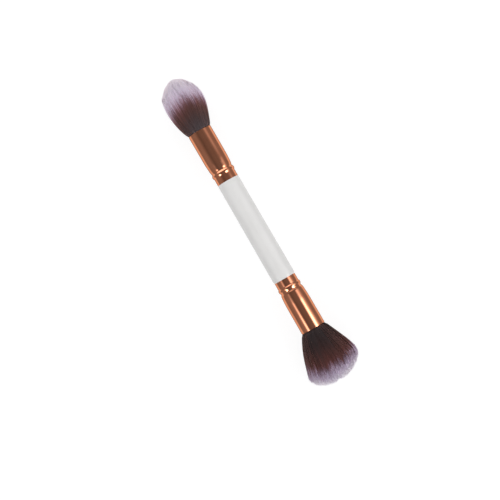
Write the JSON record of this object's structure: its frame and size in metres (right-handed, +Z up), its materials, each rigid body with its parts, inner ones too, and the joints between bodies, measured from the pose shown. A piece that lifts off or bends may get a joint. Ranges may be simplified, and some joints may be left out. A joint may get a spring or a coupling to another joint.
{
  "type": "double ended makeup brush",
  "caption": "Makeup brush with a turned white handle, a pointed tapered head on one end and a wide domed powder head on the other, each in a rose gold ferrule.",
  "frame": {"origin": "on the surface that the brush lies on, under its axis and midway along its length", "axes": "+X along the brush from the tapered head to the powder head, +Z up, +Y to its side"},
  "size_m": [0.228, 0.0374, 0.0365],
  "materials": {
    "handle_lacquer": "satin",
    "ferrule_metal": "polished",
    "bristles": "matte",
    "glue": "gloss"
  },
  "bodies": {
    "root": {"handle": "handle_lacquer", "tapered_ferrule": "ferrule_metal", "powder_ferrule": "ferrule_metal", "tapered_bristles": "bristles", "powder_bristles": "bristles", "tapered_glue_plug": "glue", "powder_glue_plug": "glue"}
  },
  "joints": []
}
